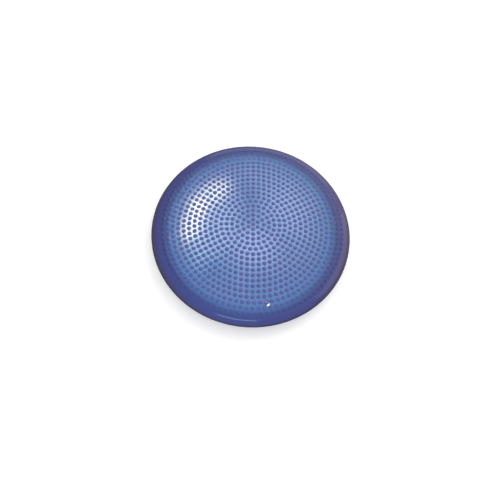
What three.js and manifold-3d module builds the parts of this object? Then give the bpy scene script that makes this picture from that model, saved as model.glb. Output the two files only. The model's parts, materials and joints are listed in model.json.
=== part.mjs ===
// Wobble cushion: a round air cushion of soft PVC, used for balance and sitting exercises.
// Millimetres, +Z up. The origin is the centre of the flat patch that the cushion rests on.
// The valve is near the edge of the standing face, towards -Y.

import * as THREE from 'three';
import { mergeVertices } from 'three/addons/utils/BufferGeometryUtils.js';
import Module from 'manifold-3d';

const wasm = await Module();
wasm.setup();

// Driving dimensions of the inflated cushion.
const DISC_RADIUS = 165;          // outside of the weld bead, half of a 330 mm disc
const THICKNESS = 50;             // floor to the middle of the standing face
const SKIN = 3;                   // wall thickness of the moulded PVC
const GAP = 0.3;                  // clearance between neighbouring pieces

// Cross-section of the disc.
const WELD_Z = 27;                // height of the weld between the two halves
const WELD_HEIGHT = 3;
const WELD_PROUD = 1;             // how far the bead stands out of the walls
const WELD_DEPTH = 5.5;           // width of the bead from its outside to its inside
const WELD_CHAMFER = 0.8;
const WALL_RADIUS = DISC_RADIUS - WELD_PROUD;
const UPPER_ROLL = 18;            // radius of the rounded edge above the weld
const FACE_RADIUS = WALL_RADIUS - UPPER_ROLL;
const FACE_EDGE_Z = WELD_Z + UPPER_ROLL;
const FACE_CROWN = THICKNESS - FACE_EDGE_Z;
const FLOOR_PATCH_RADIUS = 112;   // flat contact patch under the cushion
const FLOOR_FACE_RADIUS = 142;    // where the floor face hands over to the lower wall
const FLOOR_FACE_GAP = 0.36;      // measured along the radius, where both edges slope

// Facets.
const ROUND_STEPS = 72;           // around the disc
const VALVE_STEPS = 24;           // around the valve's pieces
const ROLL_STEPS = 8;             // down the rounded edge
const LOWER_WALL_STEPS = 7;
const FLOOR_EDGE_STEPS = 4;
const FACE_RINGS = [0, 0.35, 0.6, 0.8, 1];  // rings of the standing face, as shares of its radius

// Filling valve: a rubber seat in the standing face, closed by a removable plug.
const VALVE_RADIUS = 133.2;       // distance from the disc's axis
const VALVE_ANGLE = THREE.MathUtils.degToRad(-74.8);
const FLANGE_RADIUS = 4.6;
const FLANGE_DEPTH = 1.2;
const FLANGE_PROUD = 0.4;
const STEM_RADIUS = 3.4;
const BOSS_RADIUS = 9;
const BOSS_DEPTH = 5.5;
const BULB_LENGTH = 4;
const BULB_TIP_RADIUS = 3;
const BORE_RADIUS = 1.3;
const BORE_DEPTH = 7;
const PIN_RADIUS = 1;
const PIN_LENGTH = 6.2;
const PLUG_RADIUS = 2.9;
const PLUG_HEIGHT = 1.4;
const PLUG_CROWN = 0.4;
const LEAD_IN = 0.4;              // small chamfers on the valve's pieces
const CUT_REACH = 10;             // how far the cutters of the valve hole run past the face

const lathePoint = (radius, height) => new THREE.Vector2(radius, height);

// Height of the standing face's outer surface at a distance from the axis.
const faceHeight = (radius) => THICKNESS - FACE_CROWN * (radius / FACE_RADIUS) ** 2;

// Points of an elliptic arc in the cross-section. Angle 0 points outwards and +90 degrees up.
function arc(centreRadius, centreZ, semiRadius, semiHeight, fromAngle, toAngle, steps) {
  const points = [];
  for (let step = 0; step <= steps; step += 1) {
    const angle = fromAngle + (toAngle - fromAngle) * (step / steps);
    points.push(lathePoint(
      centreRadius + semiRadius * Math.cos(angle),
      centreZ + semiHeight * Math.sin(angle),
    ));
  }
  return points;
}

// A solid of revolution about +Z, from a cross-section that runs anticlockwise.
function revolve(profile, steps) {
  const geometry = new THREE.LatheGeometry(profile, steps);
  geometry.rotateX(Math.PI / 2);
  return geometry;
}

// A ring from a cross-section that lies clear of the axis.
const revolveRing = (profile, steps) => revolve([...profile, profile[0]], steps);

// A manifold-3d solid from a closed three.js geometry.
function toSolid(source) {
  const bare = source.clone();
  bare.deleteAttribute('normal');
  bare.deleteAttribute('uv');
  const merged = mergeVertices(bare);
  const index = merged.index.array;
  const triangles = [];
  for (let i = 0; i < index.length; i += 3) {
    const [a, b, c] = index.slice(i, i + 3);
    if (a !== b && b !== c && c !== a) {
      triangles.push(a, b, c);
    }
  }
  return new wasm.Manifold(new wasm.Mesh({
    numProp: 3,
    vertProperties: new Float32Array(merged.attributes.position.array),
    triVerts: new Uint32Array(triangles),
  }));
}

// A three.js geometry from a manifold-3d solid.
function toGeometry(solid) {
  const mesh = solid.getMesh();
  const geometry = new THREE.BufferGeometry();
  geometry.setAttribute('position', new THREE.BufferAttribute(mesh.vertProperties, 3));
  geometry.setIndex(new THREE.BufferAttribute(mesh.triVerts, 1));
  geometry.computeVertexNormals();
  return geometry;
}

// An upright cylinder between two heights.
function cylinder(radius, bottom, top) {
  const geometry = new THREE.CylinderGeometry(radius, radius, top - bottom, VALVE_STEPS);
  geometry.rotateX(Math.PI / 2);
  geometry.translate(0, 0, (bottom + top) / 2);
  return geometry;
}

// Matrix that stands a shape on the face at the valve, square to the surface.
function valveMatrix() {
  const slope = (-2 * FACE_CROWN * VALVE_RADIUS) / FACE_RADIUS ** 2;
  const outward = new THREE.Vector3(Math.cos(VALVE_ANGLE), Math.sin(VALVE_ANGLE), 0);
  const normal = outward.clone().multiplyScalar(-slope);
  normal.z = 1;
  normal.normalize();
  const turn = new THREE.Quaternion().setFromUnitVectors(new THREE.Vector3(0, 0, 1), normal);
  const place = outward.multiplyScalar(VALVE_RADIUS);
  place.z = faceHeight(VALVE_RADIUS);
  return new THREE.Matrix4().compose(place, turn, new THREE.Vector3(1, 1, 1));
}

// Crowned top skin, thickened to a boss around the valve hole.
function standingFaceGeometry(valve) {
  const radii = FACE_RINGS.map((share) => share * (FACE_RADIUS - GAP));
  const under = radii.map((radius) => lathePoint(radius, faceHeight(radius) - SKIN));
  const over = radii.map((radius) => lathePoint(radius, faceHeight(radius)));
  const skin = toSolid(revolve([...under, ...over.reverse()], ROUND_STEPS));
  const boss = toSolid(cylinder(BOSS_RADIUS, -BOSS_DEPTH, -SKIN / 2).applyMatrix4(valve));
  const stemHole = toSolid(
    cylinder(STEM_RADIUS + GAP, -CUT_REACH, CUT_REACH).applyMatrix4(valve),
  );
  const flangePocket = toSolid(
    cylinder(FLANGE_RADIUS + GAP, -FLANGE_DEPTH - GAP, CUT_REACH).applyMatrix4(valve),
  );
  return toGeometry(skin.add(boss).subtract(stemHole).subtract(flangePocket));
}

// Rounded edge from the standing face down to the weld.
function upperWallGeometry() {
  const inside = UPPER_ROLL - SKIN;
  const clear = WELD_HEIGHT / 2 + GAP;
  const top = Math.PI / 2;
  const outerStart = Math.asin(clear / UPPER_ROLL);
  const innerEnd = Math.asin(clear / inside);
  return revolveRing([
    ...arc(FACE_RADIUS, WELD_Z, UPPER_ROLL, UPPER_ROLL, outerStart, top, ROLL_STEPS),
    ...arc(FACE_RADIUS, WELD_Z, inside, inside, top, innerEnd, ROLL_STEPS),
  ], ROUND_STEPS);
}

// Bead where the upper and the lower half are welded together.
function rimWeldGeometry() {
  const low = WELD_Z - WELD_HEIGHT / 2;
  const high = WELD_Z + WELD_HEIGHT / 2;
  return revolveRing([
    lathePoint(DISC_RADIUS - WELD_DEPTH, low),
    lathePoint(DISC_RADIUS - WELD_CHAMFER, low),
    lathePoint(DISC_RADIUS, low + WELD_CHAMFER),
    lathePoint(DISC_RADIUS, high - WELD_CHAMFER),
    lathePoint(DISC_RADIUS - WELD_CHAMFER, high),
    lathePoint(DISC_RADIUS - WELD_DEPTH, high),
  ], ROUND_STEPS);
}

// The lower half's curve is a quarter ellipse from the contact patch to the weld.
const LOWER_ROLL = WALL_RADIUS - FLOOR_PATCH_RADIUS;
const lowerAngle = (radius) => -Math.acos((radius - FLOOR_PATCH_RADIUS) / LOWER_ROLL);

function lowerArc(thickness, fromAngle, toAngle, steps) {
  return arc(
    FLOOR_PATCH_RADIUS, WELD_Z, LOWER_ROLL - thickness, WELD_Z - thickness,
    fromAngle, toAngle, steps,
  );
}

// Flexible wall from the floor face up to the weld.
function lowerWallGeometry() {
  const clear = WELD_HEIGHT / 2 + GAP;
  const start = lowerAngle(FLOOR_FACE_RADIUS);
  const outerEnd = -Math.asin(clear / WELD_Z);
  const innerEnd = -Math.asin(clear / (WELD_Z - SKIN));
  return revolveRing([
    ...lowerArc(0, start, outerEnd, LOWER_WALL_STEPS),
    ...lowerArc(SKIN, innerEnd, start, LOWER_WALL_STEPS),
  ], ROUND_STEPS);
}

// Bottom skin, with the flat patch that the cushion rests on.
function floorFaceGeometry() {
  const flat = -Math.PI / 2;
  const edge = lowerAngle(FLOOR_FACE_RADIUS - FLOOR_FACE_GAP);
  return revolve([
    lathePoint(0, 0),
    ...lowerArc(0, flat, edge, FLOOR_EDGE_STEPS),
    ...lowerArc(SKIN, edge, flat, FLOOR_EDGE_STEPS),
    lathePoint(0, SKIN),
  ], ROUND_STEPS);
}

// Rubber insert: a flange in the face, a stem through the boss, and a bulb that holds it in.
function valveSeatGeometry() {
  const bulbTop = -BOSS_DEPTH - GAP;
  const bulbBottom = bulbTop - BULB_LENGTH;
  return revolve([
    lathePoint(0, bulbBottom),
    lathePoint(BULB_TIP_RADIUS, bulbBottom),
    lathePoint(FLANGE_RADIUS, bulbTop - LEAD_IN),
    lathePoint(FLANGE_RADIUS, bulbTop),
    lathePoint(STEM_RADIUS, bulbTop),
    lathePoint(STEM_RADIUS, -FLANGE_DEPTH),
    lathePoint(FLANGE_RADIUS, -FLANGE_DEPTH),
    lathePoint(FLANGE_RADIUS, FLANGE_PROUD - LEAD_IN),
    lathePoint(FLANGE_RADIUS - LEAD_IN, FLANGE_PROUD),
    lathePoint(BORE_RADIUS, FLANGE_PROUD),
    lathePoint(BORE_RADIUS, -BORE_DEPTH),
    lathePoint(0, -BORE_DEPTH),
  ], VALVE_STEPS);
}

// Stopper: a pin that fills the bore, under a low round head.
function valvePlugGeometry() {
  const seatTop = FLANGE_PROUD + GAP;
  const headTop = (radius) => seatTop + PLUG_HEIGHT - PLUG_CROWN * (radius / PLUG_RADIUS) ** 2;
  return revolve([
    lathePoint(0, seatTop - PIN_LENGTH),
    lathePoint(PIN_RADIUS - LEAD_IN, seatTop - PIN_LENGTH),
    lathePoint(PIN_RADIUS, seatTop - PIN_LENGTH + LEAD_IN),
    lathePoint(PIN_RADIUS, seatTop),
    lathePoint(PLUG_RADIUS, seatTop),
    lathePoint(PLUG_RADIUS, headTop(PLUG_RADIUS)),
    lathePoint(PLUG_RADIUS / 2, headTop(PLUG_RADIUS / 2)),
    lathePoint(0, headTop(0)),
  ], VALVE_STEPS);
}

function material(color, roughness) {
  return new THREE.MeshStandardMaterial({ color, roughness, metalness: 0 });
}

function piece(name, geometry, color, roughness) {
  const mesh = new THREE.Mesh(geometry, material(color, roughness));
  mesh.name = name;
  return mesh;
}

const FACE_BLUE = 0x4a5aa8;
const WALL_BLUE = 0x3f4a98;
const WELD_BLUE = 0x343d80;
const VALVE_BLUE = 0x3b4f92;
const PLUG_BLUE = 0x566fb4;

const cushion = new THREE.Group();
const valve = valveMatrix();

cushion.add(piece('standing_face', standingFaceGeometry(valve), FACE_BLUE, 0.35));
cushion.add(piece('upper_wall', upperWallGeometry(), WALL_BLUE, 0.3));
cushion.add(piece('rim_weld', rimWeldGeometry(), WELD_BLUE, 0.4));
cushion.add(piece('lower_wall', lowerWallGeometry(), WALL_BLUE, 0.3));
cushion.add(piece('floor_face', floorFaceGeometry(), FACE_BLUE, 0.4));

const valveGroup = new THREE.Group();
valve.decompose(valveGroup.position, valveGroup.quaternion, valveGroup.scale);
valveGroup.add(piece('valve_seat', valveSeatGeometry(), VALVE_BLUE, 0.45));
valveGroup.add(piece('valve_plug', valvePlugGeometry(), PLUG_BLUE, 0.25));
cushion.add(valveGroup);

export default cushion;
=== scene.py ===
"""Looks of the wobble cushion: glossy blue-violet PVC with rings of small nubs, on a pale studio floor.

Metres, in the frame of the CAD model: +Z up, the origin under the middle of the cushion, and the valve
towards -Y. Sizes are worked out from the CAD nodes' boxes and from the named values below.

Points of the skin are first laid out flat: (x, y), with the distance from the middle measured along the
skin. A lift is a height off the skin, along its normal.
"""

import json
import math

import bpy
import numpy as np
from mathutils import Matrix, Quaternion, Vector
from mathutils.geometry import delaunay_2d_cdt


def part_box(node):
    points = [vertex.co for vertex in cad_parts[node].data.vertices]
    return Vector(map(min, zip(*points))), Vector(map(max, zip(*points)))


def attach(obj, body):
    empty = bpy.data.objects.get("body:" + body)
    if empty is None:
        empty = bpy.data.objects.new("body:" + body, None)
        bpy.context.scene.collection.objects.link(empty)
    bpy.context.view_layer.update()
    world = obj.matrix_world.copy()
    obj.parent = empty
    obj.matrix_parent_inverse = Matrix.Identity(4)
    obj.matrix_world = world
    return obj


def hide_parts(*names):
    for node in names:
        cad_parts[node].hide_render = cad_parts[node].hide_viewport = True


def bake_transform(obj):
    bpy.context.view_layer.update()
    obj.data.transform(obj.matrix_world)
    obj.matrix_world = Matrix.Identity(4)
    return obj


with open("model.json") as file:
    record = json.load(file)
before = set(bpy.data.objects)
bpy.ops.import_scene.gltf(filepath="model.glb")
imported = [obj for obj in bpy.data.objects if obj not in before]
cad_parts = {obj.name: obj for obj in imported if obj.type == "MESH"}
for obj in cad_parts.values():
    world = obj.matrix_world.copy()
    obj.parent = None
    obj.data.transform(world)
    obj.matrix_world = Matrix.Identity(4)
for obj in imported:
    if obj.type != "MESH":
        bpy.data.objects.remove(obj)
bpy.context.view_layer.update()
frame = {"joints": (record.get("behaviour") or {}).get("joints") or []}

MM = 0.001
TAU = 2 * math.pi

# ---------------------------------------------------------------- sizes of the bladder
TOP_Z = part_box("standing_face")[1].z
WALL_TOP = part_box("upper_wall")[1].z
WELD_LOW, WELD_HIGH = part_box("rim_weld")

DISC_RADIUS = WELD_HIGH.x
WELD_Z = (WELD_LOW.z + WELD_HIGH.z) / 2
WELD_PROUD = 1.0 * MM                       # the bead stands this far out of the skin
WALL_RADIUS = DISC_RADIUS - WELD_PROUD
ROLL_HEIGHT = WALL_TOP - WELD_Z             # rounded edge above the weld
ROLL_WIDTH = 30 * MM
ROLL_CENTRE = WALL_RADIUS - ROLL_WIDTH      # where the rounded edge begins, from the axis
FLOOR_PATCH = 112 * MM                      # radius of the flat patch that it rests on
SKIN = 3 * MM
SEAM_GAP = 0.15 * MM                        # groove between the skins and the weld bead
BEAD_DEPTH = 5.5 * MM                       # of the weld bead, inwards
SHADE_AND_SCUFF_FRONT = 6 * MM                        # width of the band of painted shade and scuffs at the weld, front and back
SHADE_AND_SCUFF_SIDE = 17 * MM                        # and at the two sides
RIPPLE_HEIGHT = 0.12 * MM
RIPPLE_FADE = 30 * MM                       # the ripples die out over this distance from the weld
ROUND_STEPS = 288
PROFILE_STEPS = 400

# ---------------------------------------------------------------- sizes of the nub field
NUB_PITCH = 8.62 * MM                       # distance between rings of nubs
NUB_RINGS = 17
NUBS_PER_RING = 6                           # ring k has 6 k nubs
NUB_RADIUS = 3.3 * MM
NUB_HEIGHT = 1.7 * MM
NUB_TWIST = 0.37                            # turn of each nub's points from the last nub's, in radians
LOWERED_FROM = 13                           # the nubs get lower outwards of this ring
LAST_NUB_SHARE = 0.4                        # height of the outermost nubs, as a share
FIELD_CENTRE = Vector((2.0 * MM, -1.5 * MM))
FIELD_TURN = math.radians(5.3)              # turn of the nubs' straight columns from -Y
FIELD_END = (NUB_RINGS + 0.62) * NUB_PITCH  # the plain skin begins here
FIELD_GAP = 0.25 * MM                       # left between the nubs' points and the plain skin's
HALF_STEP_RINGS = (5, 17)                   # rings that sit half a step round from the others
VALVE_RING = 15
VALVE_RING_PLACES = 89                      # this ring has one place fewer, and the valve takes one
THIN_SHEEN_CENTRE = Vector((-1.0 * MM, -6.0 * MM))  # middle of the thin, lighter part of the skin, whose azure is partly a painted sheen
THIN_SHEEN_STRETCH = Vector((1.03, 0.98))         # that part is a little narrower across than front to back

# ---------------------------------------------------------------- sizes at the valve
SEAT_LOW, SEAT_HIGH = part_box("valve_seat")
PLUG_JOINT = next(j for j in frame["joints"] if j["name"] == "valve_plug_pull")
VALVE_AXIS = Vector(PLUG_JOINT["axis"]).normalized()
FLANGE_RADIUS = 4.9 * MM
POCKET_RADIUS = FLANGE_RADIUS + 0.15 * MM
POCKET_DEPTH = 1.85 * MM
POCKET_GAP = 0.6 * MM                       # left between the pocket's wall and the nubs' points
STEM_HOLE = 3.7 * MM
BOSS_RADIUS = 9 * MM                        # thickened skin that the valve's stem passes through
BOSS_DEPTH = 5.5 * MM
BOSS_GAP = 0.8 * MM                         # left between the boss and the other points of the inside
DIMPLE_DEPTH = 0.3 * MM                     # the skin dips towards the valve
DIMPLE_RADIUS = 7.2 * MM
DIMPLE_FLOOR = 5.3 * MM
DIMPLE_RINGS = 5
VALVE_STEPS = 40
INSERT_STEPS = 64

# Moulded rings of the underside: radii, and the section of one as (share of its half width, of its depth).
GROOVE_RADII = tuple(radius * MM for radius in (18, 34, 50, 66, 82, 98))
GROOVE_WIDTH = 3.2 * MM
GROOVE_DEPTH = 0.9 * MM
GROOVE_SHAPE = (
    (-1.6, 0.0), (-1.0, 0.0), (-0.7, 0.2), (-0.35, 0.8), (0.0, 1.0),
    (0.35, 0.8), (0.7, 0.2), (1.0, 0.0), (1.6, 0.0),
)

# Rings of points that make one nub: (share of its radius, points, share of its height).
NUB_RINGS_OF_POINTS = (
    (0.36, 6, 0.97),
    (0.62, 10, 0.87),
    (0.82, 12, 0.66),
    (0.94, 14, 0.36),
    (1.00, 14, 0.13),
    (1.05, 14, 0.0),
    (1.12, 14, 0.0),
)

# Rings of points up the wall of the valve's pocket: (outwards of the wall, lift).
POCKET_EDGE = (
    (-0.25 * MM, -POCKET_DEPTH),
    (0.0, -POCKET_DEPTH + 0.3 * MM),
    (0.05 * MM, -0.15 * MM),
    (0.25 * MM, 0.0),
)

# Rings of points up the wall of the boss inside: (outwards of the wall, lift).
BOSS_EDGE = (
    (-0.4 * MM, -BOSS_DEPTH),
    (0.0, -BOSS_DEPTH + 0.4 * MM),
    (0.2 * MM, -SKIN),
)

# Section of the insert's top in mm, from its outer edge to the plug's head: a rounded lip around a dish.
LIP_SECTION = (
    (4.90, -0.46), (4.88, -0.34), (4.81, -0.23), (4.70, -0.17), (4.57, -0.16), (4.44, -0.19),
    (4.20, -0.265), (3.90, -0.36), (3.60, -0.455), (3.30, -0.535), (3.00, -0.575), (2.80, -0.58),
)


# ---------------------------------------------------------------- the skin's form
def smooth(x):
    """Smoothstep of x clamped to 0..1."""
    x = np.clip(x, 0.0, 1.0)
    return x * x * (3 - 2 * x)


def upper_profile():
    """Run, radius, height and slope angle along the skin, from the middle to the weld.

    A crowned face runs without a crease into a rounded edge of elliptic section. The angle on the
    ellipse where they meet is found by halving.
    """
    low, high = 0.0, 0.4
    for _ in range(60):
        turn = (low + high) / 2
        join = ROLL_CENTRE + ROLL_WIDTH * math.sin(turn)
        slope = ROLL_HEIGHT / ROLL_WIDTH * math.tan(turn)
        rise = TOP_Z - slope * join / 2 - WELD_Z - ROLL_HEIGHT * math.cos(turn)
        low, high = (turn, high) if rise > 0 else (low, turn)
    face = np.linspace(0, join, PROFILE_STEPS)
    end = math.acos((WELD_HIGH.z + SEAM_GAP - WELD_Z) / ROLL_HEIGHT)
    roll = np.linspace(low, end, PROFILE_STEPS)[1:]
    face_height = TOP_Z - slope / (2 * join) * face ** 2
    radius = np.concatenate([face, ROLL_CENTRE + ROLL_WIDTH * np.sin(roll)])
    height = np.concatenate([face_height, WELD_Z + ROLL_HEIGHT * np.cos(roll)])
    angle = np.arctan(np.concatenate([slope * face / join, ROLL_HEIGHT / ROLL_WIDTH * np.tan(roll)]))
    run = np.concatenate([[0.0], np.cumsum(np.hypot(np.diff(radius), np.diff(height)))])
    return run, radius, height, angle


PROFILE_RUN, PROFILE_RADIUS, PROFILE_HEIGHT, PROFILE_ANGLE = upper_profile()
UPPER_END = PROFILE_RUN[-1]


def valve_place():
    """Where the valve's axis meets the face."""
    point = (SEAT_LOW + SEAT_HIGH) / 2
    for _ in range(5):
        height = np.interp(math.hypot(point.x, point.y), PROFILE_RADIUS, PROFILE_HEIGHT)
        point += VALVE_AXIS * ((height - point.z) / VALVE_AXIS.z)
    return point


VALVE_POINT = valve_place()
VALVE_REACH = math.hypot(VALVE_POINT.x, VALVE_POINT.y)
VALVE_RUN = np.interp(VALVE_REACH, PROFILE_RADIUS, PROFILE_RUN)
VALVE_FLAT = Vector((VALVE_POINT.x, VALVE_POINT.y)) * (VALVE_RUN / VALVE_REACH)


def on_upper(flat, lift):
    """Points of the upper half from their flat places and their lifts."""
    run = np.hypot(flat[:, 0], flat[:, 1])
    turn = np.arctan2(flat[:, 1], flat[:, 0])
    angle = np.interp(run, PROFILE_RUN, PROFILE_ANGLE)
    radius = np.interp(run, PROFILE_RUN, PROFILE_RADIUS) + lift * np.sin(angle)
    height = np.interp(run, PROFILE_RUN, PROFILE_HEIGHT) + lift * np.cos(angle)
    return np.stack([radius * np.cos(turn), radius * np.sin(turn), height], 1)


def ripples(flat):
    """Lift of the slow ripples of a soft moulded skin, up to about 0.2 mm."""
    x, y = flat[:, 0] / MM, flat[:, 1] / MM
    wave = np.sin(x / 31 + 0.7) * np.cos(y / 43 - 0.4) + 0.6 * np.sin((x + 1.7 * y) / 57 + 2.1)
    fade = smooth((UPPER_END - np.hypot(*flat.T)) / RIPPLE_FADE)
    return RIPPLE_HEIGHT * wave * fade


def from_valve(flat):
    """Distances of flat points from the valve."""
    return np.hypot(flat[:, 0] - VALVE_FLAT.x, flat[:, 1] - VALVE_FLAT.y)


def dimple(flat):
    """How far the skin dips around the valve."""
    return DIMPLE_DEPTH * smooth((DIMPLE_RADIUS - from_valve(flat)) / (DIMPLE_RADIUS - DIMPLE_FLOOR))


def ring_points(centre, radius, count, phase=0.0):
    """Points spaced evenly round a circle."""
    turn = phase + TAU * np.arange(count) / count
    return np.stack([centre[0] + radius * np.cos(turn), centre[1] + radius * np.sin(turn)], 1)


# ---------------------------------------------------------------- meshes
def new_piece(name, verts, faces):
    mesh = bpy.data.meshes.new(name)
    mesh.from_pydata([tuple(v) for v in verts], [], [tuple(f) for f in faces])
    mesh.validate()
    mesh.polygons.foreach_set("use_smooth", [True] * len(mesh.polygons))
    piece = bpy.data.objects.new(name, mesh)
    bpy.context.scene.collection.objects.link(piece)
    return piece


def set_values(piece, name, values):
    """Store one number for each vertex, for the material to read."""
    layer = piece.data.attributes.new(name, "FLOAT", "POINT")
    layer.data.foreach_set("value", np.asarray(values, np.float32))


def set_rim(piece):
    """Closeness to the weld, 1 at the weld, for the band of painted shade and scuffs around the rim."""
    near = []
    for v in piece.data.vertices:
        away = math.hypot(math.hypot(v.co.x, v.co.y) - WALL_RADIUS, v.co.z - WELD_Z)
        side = math.cos(math.atan2(v.co.y, v.co.x)) ** 2
        width = SHADE_AND_SCUFF_FRONT + (SHADE_AND_SCUFF_SIDE - SHADE_AND_SCUFF_FRONT) * side
        near.append(max(0.0, 1 - away / width))
    set_values(piece, "rim", near)


def triangulate(flat):
    """Triangles over flat points. The first VALVE_STEPS points go round the valve hole, left open."""
    out = delaunay_2d_cdt([Vector(p) for p in flat], [], [], 0, 1e-9)
    source = [ids[0] for ids in out[3]]
    faces = [[source[i] for i in face] for face in out[2]]
    return [face for face in faces if max(face) >= VALVE_STEPS]


def bridge(ring_a, ring_b):
    """Quads between two rings of vertex numbers of the same length."""
    count = len(ring_a)
    return [
        (ring_a[i], ring_b[i], ring_b[(i + 1) % count], ring_a[(i + 1) % count])
        for i in range(count)
    ]


def nub_centres():
    """Flat centres of all the nubs; the valve takes the place of one."""
    centres = [tuple(FIELD_CENTRE)]
    to_valve = VALVE_FLAT - FIELD_CENTRE
    valve_turn = math.atan2(to_valve.y, to_valve.x)
    for ring in range(1, NUB_RINGS + 1):
        count = NUBS_PER_RING * ring
        start = -math.pi / 2 + FIELD_TURN
        places = range(count)
        if ring in HALF_STEP_RINGS:
            start += math.pi / count
        if ring == VALVE_RING:
            count = VALVE_RING_PLACES
            start = valve_turn
            places = range(1, count)
        for place in places:
            turn = start + TAU * place / count
            centres.append((
                FIELD_CENTRE.x + ring * NUB_PITCH * math.cos(turn),
                FIELD_CENTRE.y + ring * NUB_PITCH * math.sin(turn),
            ))
    return np.array(centres)


def nub_patch(centre, index):
    """Flat points, lifts and nub strengths of one nub. The nubs get lower towards the rim."""
    ring = math.dist(centre, FIELD_CENTRE) / NUB_PITCH
    lowered = float(smooth((ring - LOWERED_FROM) / (NUB_RINGS - LOWERED_FROM)))
    tall = NUB_HEIGHT * (1 - (1 - LAST_NUB_SHARE) * lowered)
    flat = [np.array([centre])]
    lift = [np.array([tall])]
    strength = [np.array([1.0])]
    for share, count, rise in NUB_RINGS_OF_POINTS:
        flat.append(ring_points(centre, share * NUB_RADIUS, count, NUB_TWIST * index))
        lift.append(np.full(count, rise * tall))
        strength.append(np.full(count, 1.0 if share <= 1.0 else 0.0))
    return np.concatenate(flat), np.concatenate(lift), np.concatenate(strength)


def upper_outer_points():
    """Flat points, lifts and nub strengths of the outside of the upper half.

    The ring around the valve hole comes first, then the ring at the weld.
    """
    flats, lifts, strengths = [], [], []

    def add(flat, lift, strength=0.0):
        flats.append(flat)
        lifts.append(np.broadcast_to(lift, (len(flat),)).astype(float))
        strengths.append(np.broadcast_to(strength, (len(flat),)).astype(float))

    add(ring_points(VALVE_FLAT, STEM_HOLE, VALVE_STEPS), -POCKET_DEPTH)
    add(ring_points((0, 0), UPPER_END, ROUND_STEPS), 0.0)
    for outwards, lift in POCKET_EDGE:
        add(ring_points(VALVE_FLAT, POCKET_RADIUS + outwards, VALVE_STEPS), lift)

    centres = nub_centres()
    nub_reach = 1.2 * NUB_RADIUS            # just outside a nub's last ring of points
    for step in range(1, DIMPLE_RINGS + 1):
        radius = DIMPLE_FLOOR + (DIMPLE_RADIUS - DIMPLE_FLOOR) * step / DIMPLE_RINGS
        flat = ring_points(VALVE_FLAT, radius, VALVE_STEPS, math.pi / VALVE_STEPS * (step % 2))
        from_nub = np.hypot(*(flat[:, None] - centres[None]).transpose(2, 0, 1)).min(1)
        add(flat[from_nub > nub_reach], 0.0)

    edge_rings = 16
    for ring in range(edge_rings):
        run = FIELD_END + (UPPER_END - FIELD_END) * ring / edge_rings
        add(ring_points((0, 0), run, ROUND_STEPS, math.pi / ROUND_STEPS * (ring % 2)), 0.0)

    for index, centre in enumerate(centres):
        flat, lift, strength = nub_patch(centre, index)
        clear_of_valve = from_valve(flat) > POCKET_RADIUS + POCKET_GAP
        keep = clear_of_valve & (np.hypot(*flat.T) < FIELD_END - FIELD_GAP)
        add(flat[keep], lift[keep], strength[keep])
    return np.concatenate(flats), np.concatenate(lifts), np.concatenate(strengths)


def upper_inner_points():
    """Flat points and lifts of the inside of the upper half, with the same two rings first."""
    flats = [ring_points(VALVE_FLAT, STEM_HOLE, VALVE_STEPS), ring_points((0, 0), UPPER_END, ROUND_STEPS)]
    levels = [-BOSS_DEPTH, -SKIN]
    for outwards, lift in BOSS_EDGE:
        flats.append(ring_points(VALVE_FLAT, BOSS_RADIUS + outwards, VALVE_STEPS))
        levels.append(lift)
    flats.append(np.zeros((1, 2)))
    levels.append(-SKIN)
    rings = 26                              # with fewer points in the ones near the middle
    for ring in range(1, rings):
        count = max(12, round(ROUND_STEPS * min(1.0, ring / rings + 0.1)))
        flat = ring_points((0, 0), UPPER_END * ring / rings, count)
        flats.append(flat[from_valve(flat) > BOSS_RADIUS + BOSS_GAP])
        levels.append(-SKIN)
    lifts = [np.full(len(flat), level) for flat, level in zip(flats, levels)]
    return np.concatenate(flats), np.concatenate(lifts)


def make_upper_skin():
    """Standing face and rounded edge in one closed skin, nubs outside and plain inside."""
    outer_flat, outer_lift, strength = upper_outer_points()
    inner_flat, inner_lift = upper_inner_points()
    outer = on_upper(outer_flat, outer_lift + ripples(outer_flat) - dimple(outer_flat))
    inner = on_upper(inner_flat, inner_lift)

    first = len(outer)
    outer_faces = triangulate(outer_flat)
    inner_faces = [[i + first for i in reversed(face)] for face in triangulate(inner_flat)]
    hole = list(range(VALVE_STEPS))
    end = list(range(VALVE_STEPS, VALVE_STEPS + ROUND_STEPS))
    hole_wall = bridge(hole, [i + first for i in hole])
    end_wall = bridge([i + first for i in end], end)
    faces = outer_faces + inner_faces + hole_wall + end_wall
    skin = new_piece("upper_skin", np.concatenate([outer, inner]), faces)

    set_values(skin, "nub", np.concatenate([strength, np.zeros(len(inner))]))
    from_thin_sheen = (outer_flat - np.array(THIN_SHEEN_CENTRE)) * np.array(THIN_SHEEN_STRETCH)
    run = np.concatenate([np.hypot(*from_thin_sheen.T), np.hypot(*inner_flat.T)])
    set_values(skin, "run", run / (NUB_PITCH * NUB_RINGS))
    return skin


def revolve(name, profile, steps, place=None):
    """Closed surface of revolution from a profile of (radius, height).

    The profile starts and ends on the axis, or else it is closed here.
    """
    verts, rows, faces = [], [], []
    for radius, height in profile:
        if radius == 0.0:
            rows.append([len(verts)] * steps)
            verts.append((0.0, 0.0, height))
            continue
        rows.append(list(range(len(verts), len(verts) + steps)))
        for step in range(steps):
            turn = TAU * step / steps
            verts.append((radius * math.cos(turn), radius * math.sin(turn), height))
    if profile[0][0] > 0.0:
        rows.append(rows[0])
    for low, high in zip(rows, rows[1:]):
        for step in range(steps):
            after = (step + 1) % steps
            corners = list(dict.fromkeys([low[step], low[after], high[after], high[step]]))
            if len(corners) > 2:
                faces.append(corners)
    piece = new_piece(name, verts, faces)
    if place is not None:
        piece.data.transform(place)
    return piece


def arc(centre, semi, start, end, steps):
    """Points of an elliptic arc in the cross-section, angles in degrees."""
    points = []
    for step in range(steps + 1):
        angle = math.radians(start + (end - start) * step / steps)
        points.append((centre[0] + semi[0] * math.cos(angle), centre[1] + semi[1] * math.sin(angle)))
    return points


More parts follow.
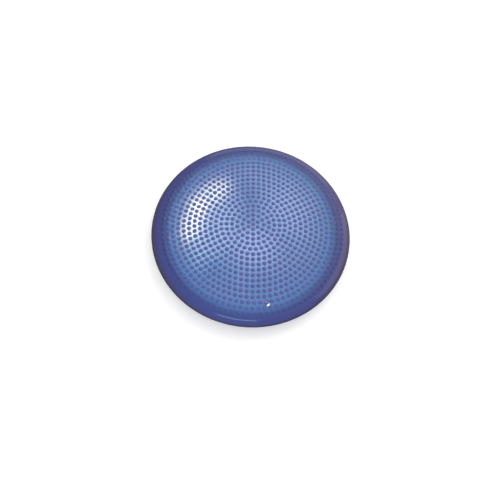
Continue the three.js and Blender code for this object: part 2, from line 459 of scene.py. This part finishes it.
def make_lower_skin():
    """Underside and lower wall in one closed skin, with shallow moulded rings in the contact patch."""
    outer = (WALL_RADIUS - FLOOR_PATCH, WELD_Z)
    inner = (outer[0] - SKIN, outer[1] - SKIN)
    below_weld = WELD_Z - WELD_LOW.z + SEAM_GAP
    outer_end = -math.degrees(math.asin(below_weld / outer[1]))
    inner_end = -math.degrees(math.asin(below_weld / inner[1]))
    profile = [(0.0, 0.0)]
    for groove in GROOVE_RADII:
        for share, depth in GROOVE_SHAPE:
            profile.append((groove + share * GROOVE_WIDTH / 2, depth * GROOVE_DEPTH))
    profile += arc((FLOOR_PATCH, WELD_Z), outer, -90, outer_end, 40)
    profile += arc((FLOOR_PATCH, WELD_Z), inner, inner_end, -90, 20)
    return revolve("lower_skin", profile + [(0.0, SKIN)], ROUND_STEPS)


def make_weld():
    """Bead around the rim where the halves are welded."""
    half = (WELD_HIGH.z - WELD_LOW.z) / 2
    inside = DISC_RADIUS - BEAD_DEPTH
    nose = arc((DISC_RADIUS - half, WELD_Z), (half, half), -90, 90, 12)
    return revolve("rim_bead", [(inside, WELD_Z - half)] + nose + [(inside, WELD_Z + half)], ROUND_STEPS)


def valve_matrix():
    """Carries an upright piece from the origin to the valve's place and slant."""
    turn = Vector((0, 0, 1)).rotation_difference(VALVE_AXIS).to_matrix().to_4x4()
    turn.translation = VALVE_POINT
    return turn


def make_valve_seat():
    """Rubber insert: a rounded lip, a shallow dish around the plug, and a gripping bulb below the skin."""
    flange, stem, bore = FLANGE_RADIUS, 3.4 * MM, 1.3 * MM
    under, bore_end = -1.6 * MM, -7 * MM
    bulb_top, bulb_end, bulb_tip = -5.8 * MM, -9.8 * MM, 2.6 * MM
    corner, chamfer = 0.2 * MM, 0.25 * MM
    lip = [(radius * MM, height * MM) for radius, height in LIP_SECTION]
    dish = lip[-1][1]
    profile = [
        (0.0, bulb_end),
        (bulb_tip, bulb_end),
        (bulb_tip + 0.6 * MM, bulb_end + 0.3 * MM),
        (flange - corner, bulb_top - 0.6 * MM),
        (flange, bulb_top - 0.3 * MM),
        (flange - corner, bulb_top),
        (stem, bulb_top),
        (stem, under),
        (flange - corner, under),
        (flange, under + corner),
        *lip,
        (bore + chamfer, dish),
        (bore, dish - chamfer),
        (bore, bore_end),
        (0.0, bore_end),
    ]
    return revolve("valve_insert", profile, INSERT_STEPS, valve_matrix())


def make_valve_plug():
    """Stopper: a slim pin under a low rounded head with a small hollow in its middle."""
    pin, pin_end, point = 1.0 * MM, -5.0 * MM, 0.5 * MM
    head, edge = 2.9 * MM, 0.55 * MM
    seat, top = -0.45 * MM, 0.75 * MM
    hollow, hollow_edge, hollow_floor = 0.62 * MM, top - 0.06 * MM, top - 0.16 * MM
    profile = [(0.0, pin_end - point), (pin - point, pin_end - point), (pin, pin_end), (pin, seat)]
    profile += arc((head - edge, seat + edge), (edge, edge), -90, 0, 5)
    profile += arc((0.0, seat + edge), (head, top - seat - edge), 0, 68, 8)[1:]
    profile += [(hollow, hollow_edge), (0.0, hollow_floor)]
    return revolve("valve_stopper", profile, INSERT_STEPS, valve_matrix())


# ---------------------------------------------------------------- materials
class Nodes:
    """A small helper for building a node material around its Principled BSDF."""

    def __init__(self, name):
        self.material = bpy.data.materials.new(name)
        self.material.use_nodes = True
        self.tree = self.material.node_tree
        self.shader = self.tree.nodes["Principled BSDF"]

    def add(self, kind, inputs=None, **settings):
        """Add a node, with its settings and with a value or a link for each input named."""
        node = self.tree.nodes.new(kind)
        for key, value in settings.items():
            setattr(node, key, value)
        for key, value in (inputs or {}).items():
            self.feed(node.inputs[key], value)
        return node

    def feed(self, socket, value):
        """Link an output to the socket, or set the socket to a plain value."""
        if isinstance(value, bpy.types.NodeSocket):
            self.tree.links.new(value, socket)
        else:
            socket.default_value = value

    def set(self, **inputs):
        """Feed the Principled BSDF's sockets, named with _ for a space."""
        for key, value in inputs.items():
            self.feed(self.shader.inputs[key.replace("_", " ")], value)

    def surface(self, shader):
        """Use another shader for the surface in place of the Principled BSDF."""
        self.feed(self.tree.nodes["Material Output"].inputs["Surface"], shader)

    def math(self, operation, a, b, clamp=False):
        return self.add("ShaderNodeMath", {0: a, 1: b}, operation=operation, use_clamp=clamp).outputs[0]

    def vector(self, operation, a, b):
        return self.add("ShaderNodeVectorMath", {0: a, 1: b}, operation=operation).outputs["Vector"]

    def mix(self, factor, a, b):
        """Colour from a to b. Inputs 6 and 7 and output 2 are the node's colour sockets."""
        node = self.add("ShaderNodeMix", data_type="RGBA")
        self.feed(node.inputs[0], factor)
        self.feed(node.inputs[6], a)
        self.feed(node.inputs[7], b)
        return node.outputs[2]

    def noise(self, scale, detail=3.0):
        place = self.add("ShaderNodeTexCoord").outputs["Object"]
        inputs = {"Vector": place, "Scale": scale, "Detail": detail, "Roughness": 0.55}
        return self.add("ShaderNodeTexNoise", inputs).outputs["Fac"]

    def ramp(self, value, low, high, start=0.0, end=1.0):
        """Runs from start to end as the value goes from low to high, and stays at the ends beyond them."""
        inputs = {"Value": value, "From Min": low, "From Max": high, "To Min": start, "To Max": end}
        return self.add("ShaderNodeMapRange", inputs).outputs["Result"]

    def attribute(self, name):
        return self.add("ShaderNodeAttribute", attribute_name=name).outputs["Fac"]

    def bump(self, height, strength):
        inputs = {"Height": height, "Strength": strength, "Distance": 0.3 * MM}
        return self.add("ShaderNodeBump", inputs).outputs["Normal"]


VIOLET = (0.065, 0.066, 0.208, 1)
VIOLET_DEEP = (0.058, 0.058, 0.186, 1)
# The nubs' own violet, lightened by a painted sheen in place of reflections their low specular leaves out.
NUB_VIOLET = (0.080, 0.106, 0.310, 1)
# Painted shade: the outer nubs darker where the face rolls away from the light.
NUB_OUTER = (0.044, 0.054, 0.185, 1)
SHOULDER = (0.057, 0.078, 0.245, 1)
# Azure of the thin skin between the nubs, partly its own colour and partly a painted sheen.
AZURE = (0.126, 0.222, 0.490, 1)
AZURE_DEEP = (0.104, 0.202, 0.462, 1)
# Painted shade: the azure darker towards the rim, where the face rolls away from the light.
RIM_AZURE = (0.062, 0.170, 0.412, 1)
# Painted shade with some wear: the grey that the rim takes towards the weld.
RIM_SHADE_GREY = (0.050, 0.048, 0.070, 1)
WELD_DARK = (0.035, 0.036, 0.105, 1)
RUBBER_BLUE = (0.085, 0.125, 0.360, 1)
RUBBER_DEEP = (0.070, 0.105, 0.310, 1)
PLUG_BLUE = (0.075, 0.115, 0.340, 1)
PLUG_DEEP = (0.065, 0.095, 0.290, 1)


def nubbed_colour(m, plain, nub):
    """Colour of the standing face: nubs, with lighter azure skin between them that ends before the rim. The
    azure is partly the thin skin's own colour and partly a painted sheen, the nubs' violet holds some
    painted sheen, and both are painted darker towards the rim as shade.

    "run" is the distance from the middle of the thin part, and 1 at about the last ring of nubs.
    """
    run = m.attribute("run")
    between = m.math("SUBTRACT", 1.0, nub, clamp=True)
    shoulder = m.math("MULTIPLY", between, m.ramp(run, 1.11, 1.00))
    colour = m.mix(shoulder, plain, SHOULDER)
    # The nubs are painted darker towards the rim as shade.
    colour = m.mix(nub, colour, m.mix(m.ramp(run, 1.0, 0.9), NUB_OUTER, NUB_VIOLET))
    azure = m.mix(m.ramp(m.noise(14.0, 2.0), 0.35, 0.65), AZURE, AZURE_DEEP)
    # The azure is painted darker towards the rim as shade.
    azure = m.mix(m.ramp(run, 0.93, 0.78), RIM_AZURE, azure)
    # The azure between the nubs, partly a painted sheen, fades out before the rim.
    thin = m.math("MULTIPLY", between, m.ramp(run, 0.985, 0.90))
    return m.mix(thin, colour, azure)


def pvc_material(name, with_nubs):
    """Glossy soft PVC: violet where it is thick, azure where it is thin, partly a painted sheen, and greyed
    at the rim by painted shade and wear.
    """
    m = Nodes(name)
    grain = m.noise(900.0, 4.0)
    colour = m.mix(m.ramp(m.noise(9.0, 2.0), 0.35, 0.65), VIOLET, VIOLET_DEEP)
    rough = m.ramp(grain, 0.3, 0.7, 0.09, 0.14)
    if with_nubs:
        nub = m.attribute("nub")
        colour = nubbed_colour(m, colour, nub)
        rough = m.math("ADD", rough, m.math("MULTIPLY", nub, 0.17))
        m.set(Specular_IOR_Level=m.ramp(nub, 0.0, 1.0, 0.5, 0.18))
    # Painted shade with some wear: patchy greying and darkening of the rim towards the weld.
    patchy = m.ramp(m.noise(60.0, 4.0), 0.2, 0.6, 0.75, 1.0)
    shade_and_scuff = m.math("MULTIPLY", m.ramp(m.attribute("rim"), 0.0, 0.8), patchy)
    m.set(Base_Color=m.mix(shade_and_scuff, colour, RIM_SHADE_GREY))
    m.set(Roughness=m.math("ADD", rough, m.math("MULTIPLY", shade_and_scuff, 0.08)))
    m.set(IOR=1.53, Normal=m.bump(grain, 0.03))
    return m.material


def plain_material(name, base, deep, roughness, bump):
    """Smooth moulded material with slight clouding and a fine grain."""
    m = Nodes(name)
    grain = m.noise(1500.0, 4.0)
    m.set(Base_Color=m.mix(m.ramp(m.noise(120.0), 0.3, 0.7), base, deep))
    m.set(Roughness=m.ramp(grain, 0.3, 0.7, roughness - 0.06, roughness + 0.06))
    m.set(Normal=m.bump(grain, bump))
    return m.material


# ---------------------------------------------------------------- the cushion
def finish_piece(piece, material, slot, *nodes):
    """Give a piece its material, and hide the CAD nodes that it stands for. The slot is not used."""
    piece.data.materials.append(material)
    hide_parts(*nodes)


def build_bladder():
    """The two skins and the weld bead between them."""
    upper = make_upper_skin()
    set_rim(upper)
    finish_piece(upper, pvc_material("pvc_nubbed", True), "face_pvc", "standing_face", "upper_wall")
    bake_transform(upper)

    lower = make_lower_skin()
    set_rim(lower)
    finish_piece(lower, pvc_material("pvc_plain", False), "floor_pvc", "floor_face", "lower_wall")
    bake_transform(lower)

    weld = make_weld()
    finish_piece(weld, plain_material("pvc_weld", VIOLET_DEEP, WELD_DARK, 0.3, 0.2), "weld_pvc", "rim_weld")
    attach(weld, "rim")
    return [upper, lower, weld]


def build_valve():
    """The rubber seat and its plug."""
    seat = make_valve_seat()
    rubber = plain_material("valve_rubber", RUBBER_BLUE, RUBBER_DEEP, 0.28, 0.02)
    finish_piece(seat, rubber, "valve_rubber", "valve_seat")
    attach(seat, "top")

    plug = make_valve_plug()
    plastic = plain_material("plug_plastic", PLUG_BLUE, PLUG_DEEP, 0.12, 0.05)
    finish_piece(plug, plastic, "plug_plastic", "valve_plug")
    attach(plug, "plug")
    return [seat, plug]


# ---------------------------------------------------------------- sizes and levels of the studio
FLOOR_DROP = 0.2 * MM                       # the floor lies this far under the cushion
FLOOR_HALF = 3.0
FLOOR_GLOW = 0.25                           # seen by the camera only, and keeps the floor pale
SHEET_HEIGHT = 1.05                         # of the light sheet over the cushion
SHEET_HALF = 1.6
COOL = (0.72, 0.77, 1.0)
WARM = (1.0, 0.90, 0.55)
AQUA = (0.75, 0.95, 0.92)
RED = (1.0, 0.1, 0.1)
WHITE = (1.0, 1.0, 1.0)
WALL_WARM = (1.0, 0.92, 0.85)

# Patches of the light sheet: centre, half sizes, turn in degrees, softness of the edge, level, colour.
# A negative level takes its colour out of the patches that it overlaps.
SHEET_PATCHES = (
    ((0.01, 0.55), (0.35, 0.43), 0, 0.35, 3.0, COOL),
    ((-0.356, 0.485), (0.061, 0.15), -8, 0.2, 20.5, WARM),
    ((-0.282, 0.69), (0.074, 0.155), -38, 0.3, 16.5, WARM),
    ((-0.21, 0.47), (0.13, 0.27), -12, 0.35, 4.2, AQUA),
    ((-0.31, 0.31), (0.07, 0.15), 12, 0.5, 3.0, AQUA),
    ((0.03, 0.33), (0.12, 0.11), 0, 0.6, 4.6, COOL),
    ((0.20, 0.65), (0.12, 0.20), 20, 0.6, 2.4, COOL),
    ((-0.25, 0.18), (0.17, 0.11), 0, 0.5, -1.2, RED),
    ((-0.07, 0.65), (0.09, 0.16), 0, 0.6, -3.0, COOL),
)

# Lamps: name, place, target, size, power in watts, colour, what they make, and what they light.
MIDDLE = (0, 0, WELD_Z)
NEAR_EDGE = (0, -DISC_RADIUS, WELD_Z)
STREAK_BLUE = (0.6, 0.95, 1.0)
LAMPS = (
    ("soft_key", (0.7, 0.9, 1.4), MIDDLE, (1.0, 1.0), 6.0, WHITE, "shading", "all"),
    ("right_wall", (1.6, 0.2, 0.5), MIDDLE, (2.0, 1.0), 4.0, WALL_WARM, "reflections", "all"),
    ("far_wall", (0.2, 1.8, 0.5), MIDDLE, (2.0, 1.0), 4.0, WALL_WARM, "reflections", "all"),
    ("near_strip", (-0.10, -1.36, 0.78), NEAR_EDGE, (0.8, 0.14), 1.7, STREAK_BLUE, "reflections", "all"),
    ("warm_side", (0.42, 0.30, 0.25), MIDDLE, (0.3, 0.3), 2.4, (1.0, 0.66, 0.12), "shading", "cushion"),
    ("cool_front", (-0.05, -0.95, 0.09), MIDDLE, (0.6, 0.1), 2.0, (0.45, 0.60, 1.0), "shading", "cushion"),
    ("valve_glint", (-0.41, 0.50, 1.0), VALVE_POINT, (0.1, 0.1), 130.0, WHITE, "reflections", "valve"),
)

# The camera looks from high on the valve's side, close and slightly rolled.
CAMERA_ELEVATION = math.radians(67.14)
CAMERA_AZIMUTH = math.radians(0.28)
CAMERA_ROLL = math.radians(-6.54)
CAMERA_DISTANCE = 0.6804
CAMERA_LENS, CAMERA_SENSOR = 31.08, 36      # in mm
CAMERA_AIM = Vector((0.0013, -0.0470, TOP_Z))


# ---------------------------------------------------------------- studio
def flat_sheet(name, half, height, upward):
    """Square sheet that belongs to the studio and not to the cushion."""
    mesh = bpy.data.meshes.new(name)
    corners = [(-half, -half, height), (half, -half, height), (half, half, height), (-half, half, height)]
    mesh.from_pydata(corners, [], [(0, 1, 2, 3) if upward else (3, 2, 1, 0)])
    sheet = bpy.data.objects.new(name, mesh)
    bpy.context.scene.collection.objects.link(sheet)
    return sheet


def make_floor():
    """Pale matt floor. It is dimmer in reflections, and gone when the camera is below it."""
    floor = flat_sheet("floor", FLOOR_HALF, -FLOOR_DROP, True)
    m = Nodes("floor_paint")
    path = m.add("ShaderNodeLightPath")
    paint = m.mix(path.outputs["Is Glossy Ray"], (0.9, 0.9, 0.9, 1), (0.10, 0.10, 0.11, 1))
    m.set(Base_Color=paint, Roughness=0.9, Specular_IOR_Level=0.1)
    m.set(Emission_Color=(1, 1, 1, 1))
    m.set(Emission_Strength=m.math("MULTIPLY", path.outputs["Is Camera Ray"], FLOOR_GLOW))
    eye = m.add(
        "ShaderNodeVectorTransform",
        {"Vector": (0, 0, 0)},
        vector_type="POINT", convert_from="CAMERA", convert_to="WORLD",
    )
    height = m.add("ShaderNodeSeparateXYZ", {"Vector": eye.outputs["Vector"]}).outputs["Z"]
    below = m.math("LESS_THAN", height, 0.0)
    clear = m.add("ShaderNodeBsdfTransparent").outputs["BSDF"]
    either = m.add("ShaderNodeMixShader", {0: below, 1: m.shader.outputs["BSDF"], 2: clear})
    m.surface(either.outputs["Shader"])
    floor.data.materials.append(m.material)


def patch_glow(m, place, centre, half, turn, softness, level, colour):
    """Glow of one patch: full inside, fading out over its soft edge."""
    mapping = {
        "Vector": place,
        "Location": (centre[0], centre[1], 0),
        "Rotation": (0, 0, math.radians(turn)),
        "Scale": (half[0], half[1], 1),
    }
    local = m.add("ShaderNodeMapping", mapping, vector_type="TEXTURE").outputs["Vector"]
    flat = m.vector("MULTIPLY", local, (1, 1, 0))
    away = m.add("ShaderNodeVectorMath", {0: flat}, operation="LENGTH").outputs["Value"]
    fade = m.add(
        "ShaderNodeMapRange",
        {"Value": away, "From Min": 1 + softness, "From Max": 1 - softness, "To Min": 0.0, "To Max": level},
        interpolation_type="SMOOTHSTEP",
    )
    return m.vector("MULTIPLY", colour, fade.outputs["Result"])


def make_light_sheet():
    """Glowing sheet over the cushion that shows only in reflections."""
    sheet = flat_sheet("light_sheet", SHEET_HALF, SHEET_HEIGHT, False)
    m = Nodes("light_sheet")
    place = m.add("ShaderNodeTexCoord").outputs["Object"]
    total = (0, 0, 0)
    for patch in SHEET_PATCHES:
        total = m.vector("ADD", patch_glow(m, place, *patch), total)
    glow = m.add("ShaderNodeEmission", {"Color": m.vector("MAXIMUM", total, (0, 0, 0)), "Strength": 1.0})
    m.surface(glow.outputs["Emission"])
    sheet.data.materials.append(m.material)
    sheet.visible_camera = False
    sheet.visible_diffuse = False
    sheet.visible_shadow = False


def make_world():
    """White backdrop that lights the cushion softly from all round and is dark in reflections."""
    world = bpy.data.worlds.new("studio")
    bpy.context.scene.world = world
    world.use_nodes = True
    back = world.node_tree.nodes["Background"]
    back.inputs["Color"].default_value = (1.0, 1.0, 1.0, 1)
    back.inputs["Strength"].default_value = 1.0
    world.cycles_visibility.glossy = False


def make_lamp(name, place, target, size, power, colour, makes, lit):
    """Rectangular lamp for shading or for reflections.

    It lights the pieces in lit, or everything if that is empty.
    """
    light = bpy.data.lights.new(name, "AREA")
    light.shape = "RECTANGLE"
    light.size, light.size_y = size
    light.energy = power
    light.color = colour
    lamp = bpy.data.objects.new(name, light)
    lamp.location = place
    lamp.rotation_mode = "QUATERNION"
    lamp.rotation_quaternion = (Vector(target) - Vector(place)).to_track_quat("-Z", "Y")
    lamp.visible_camera = False
    lamp.visible_glossy = makes == "reflections"
    lamp.visible_diffuse = makes == "shading"
    bpy.context.scene.collection.objects.link(lamp)
    if lit:
        receivers = bpy.data.collections.new("lit_by_" + name)
        for piece in lit:
            receivers.objects.link(piece)
        lamp.light_linking.receiver_collection = receivers


def make_camera():
    flat = math.cos(CAMERA_ELEVATION)
    forward = Vector((
        math.sin(CAMERA_AZIMUTH) * flat,
        math.cos(CAMERA_AZIMUTH) * flat,
        -math.sin(CAMERA_ELEVATION),
    ))
    data = bpy.data.cameras.new("camera")
    data.lens, data.sensor_width = CAMERA_LENS, CAMERA_SENSOR
    camera = bpy.data.objects.new("camera", data)
    camera.location = CAMERA_AIM - forward * CAMERA_DISTANCE
    camera.rotation_mode = "QUATERNION"
    camera.rotation_quaternion = Quaternion(forward, CAMERA_ROLL) @ forward.to_track_quat("-Z", "Y")
    bpy.context.scene.collection.objects.link(camera)
    bpy.context.scene.camera = camera


bladder = build_bladder()
valve = build_valve()
make_floor()
make_light_sheet()
make_world()
groups = {"all": [], "cushion": bladder + valve, "valve": valve}
for *lamp, group in LAMPS:
    make_lamp(*lamp, groups[group])
make_camera()
bpy.context.scene.view_settings.view_transform = "Standard"
